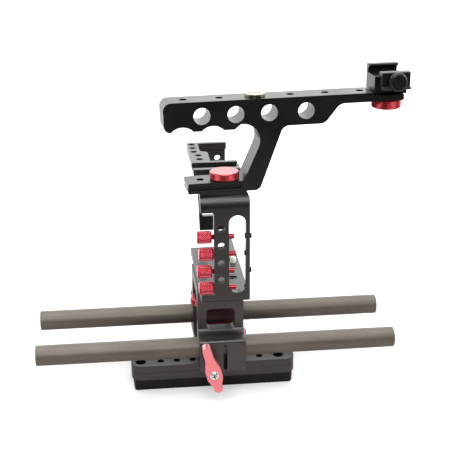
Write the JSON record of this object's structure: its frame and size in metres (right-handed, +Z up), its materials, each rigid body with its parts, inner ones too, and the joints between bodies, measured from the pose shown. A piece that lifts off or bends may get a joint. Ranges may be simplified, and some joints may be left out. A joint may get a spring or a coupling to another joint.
{
  "type": "camera cage",
  "caption": "Ring-shaped camera cage on a riser with two support rods, cable clamp screws, cold shoe and a top handle with an accessory clamp.",
  "frame": {"origin": "tripod thread in the middle of the base's underside", "axes": "+X along the rods towards the camera's back, +Y towards the camera's right-hand side, +Z up"},
  "size_m": [0.2675, 0.1433, 0.249],
  "materials": {
    "black_anodised": "bead-blasted, black anodised",
    "rod_grey": "matt, brown-grey, slightly blotchy",
    "red_anodised": "satin, red anodised",
    "zinc_screw": "zinc plated",
    "black_steel": "black oxide",
    "nickel": "nickel plated, warm",
    "cream_plastic": "cream, matt"
  },
  "bodies": {
    "cage": {"quick_plate": "black_anodised", "middle_plate": "black_anodised", "deck_plate": "black_anodised", "plate_screws": "black_steel", "riser_block": "black_anodised", "riser_neck": "black_anodised", "cage_frame": "black_anodised", "cage_screws": "black_steel", "anti_twist_pin": "cream_plastic", "set_screws": "black_steel", "cold_shoe": "black_anodised", "shoe_screws": "black_steel"},
    "near_rod": {"near_rod": "rod_grey"},
    "far_rod": {"far_rod": "rod_grey"},
    "near_lever": {"near_lever": "red_anodised", "near_lever_screw": "zinc_screw", "near_clamp_bolt": "zinc_screw"},
    "far_lever": {"far_lever": "red_anodised", "far_lever_screw": "zinc_screw", "far_clamp_bolt": "zinc_screw"},
    "riser_wheel": {"riser_wheel": "red_anodised", "riser_stud": "zinc_screw"},
    "camera_knob": {"camera_knob": "red_anodised", "camera_stud": "zinc_screw"},
    "cable_screw_1": {"cable_screw_1": "red_anodised"},
    "cable_screw_2": {"cable_screw_2": "red_anodised"},
    "cable_screw_3": {"cable_screw_3": "red_anodised"},
    "cable_screw_4": {"cable_screw_4": "red_anodised"},
    "handle": {"top_handle": "black_anodised", "handle_plug": "nickel", "clamp_base": "black_anodised"},
    "handle_knob": {"handle_knob": "red_anodised", "handle_stud": "zinc_screw"},
    "clamp_knob": {"clamp_knob": "red_anodised", "clamp_stud": "zinc_screw"},
    "clamp_jaw": {"clamp_jaw": "black_anodised"},
    "jaw_knob": {"jaw_knob": "black_anodised"}
  },
  "joints": [
    {"name": "near_rod_slide", "type": "slide", "parent": "cage", "child": "near_rod", "axis": [1, 0, 0], "range_m": [-0.11, 0.11]},
    {"name": "near_lever_turn", "type": "hinge", "parent": "cage", "child": "near_lever", "pos_m": [-0.003, -0.041, 0.0301], "axis": [0, -1, 0], "range_deg": [0, 180]},
    {"name": "far_rod_slide", "type": "slide", "parent": "cage", "child": "far_rod", "axis": [1, 0, 0], "range_m": [-0.11, 0.11]},
    {"name": "far_lever_turn", "type": "hinge", "parent": "cage", "child": "far_lever", "pos_m": [-0.003, 0.041, 0.0301], "axis": [0, 1, 0], "range_deg": [0, 180]},
    {"name": "riser_wheel_turn", "type": "hinge", "parent": "cage", "child": "riser_wheel", "pos_m": [0.0106, 0, 0.0332], "axis": [0, 0, 1], "continuous": true},
    {"name": "camera_knob_turn", "type": "hinge", "parent": "cage", "child": "camera_knob", "pos_m": [-0.0052, 0, 0.0638], "axis": [0, 0, 1], "continuous": true},
    {"name": "cable_screw_1_travel", "type": "slide", "parent": "cage", "child": "cable_screw_1", "axis": [1, 0, 0], "range_m": [-0.009, 0.0015]},
    {"name": "cable_screw_2_travel", "type": "slide", "parent": "cage", "child": "cable_screw_2", "axis": [1, 0, 0], "range_m": [-0.01, 0.0003]},
    {"name": "cable_screw_3_travel", "type": "slide", "parent": "cage", "child": "cable_screw_3", "axis": [1, 0, 0], "range_m": [-0.009, 0.0015]},
    {"name": "cable_screw_4_travel", "type": "slide", "parent": "cage", "child": "cable_screw_4", "axis": [1, 0, 0], "range_m": [-0.01, 0.0003]},
    {"name": "handle_swivel", "type": "hinge", "parent": "cage", "child": "handle", "pos_m": [0.0066, -0.0408, 0.16805], "axis": [0, 0, 1], "range_deg": [-35, 25]},
    {"name": "handle_knob_turn", "type": "hinge", "parent": "handle", "child": "handle_knob", "pos_m": [0.0066, -0.0408, 0.17555], "axis": [0, 0, 1], "continuous": true},
    {"name": "clamp_knob_turn", "type": "hinge", "parent": "handle", "child": "clamp_knob", "pos_m": [0.12096, -0.03079, 0.226], "axis": [0, 0, 1], "continuous": true},
    {"name": "jaw_travel", "type": "slide", "parent": "handle", "child": "clamp_jaw", "axis": [0.0872, -0.9962, 0], "range_m": [0, 0.005]},
    {"name": "jaw_knob_turn", "type": "hinge", "parent": "clamp_jaw", "child": "jaw_knob", "pos_m": [0.12409, -0.04588, 0.2407], "axis": [0.0872, -0.9962, 0], "range_deg": [0, 2572]}
  ],
  "couplings": [
    {"joint": "jaw_knob_turn", "follows": "jaw_travel", "rad_per_m": 8976}
  ]
}
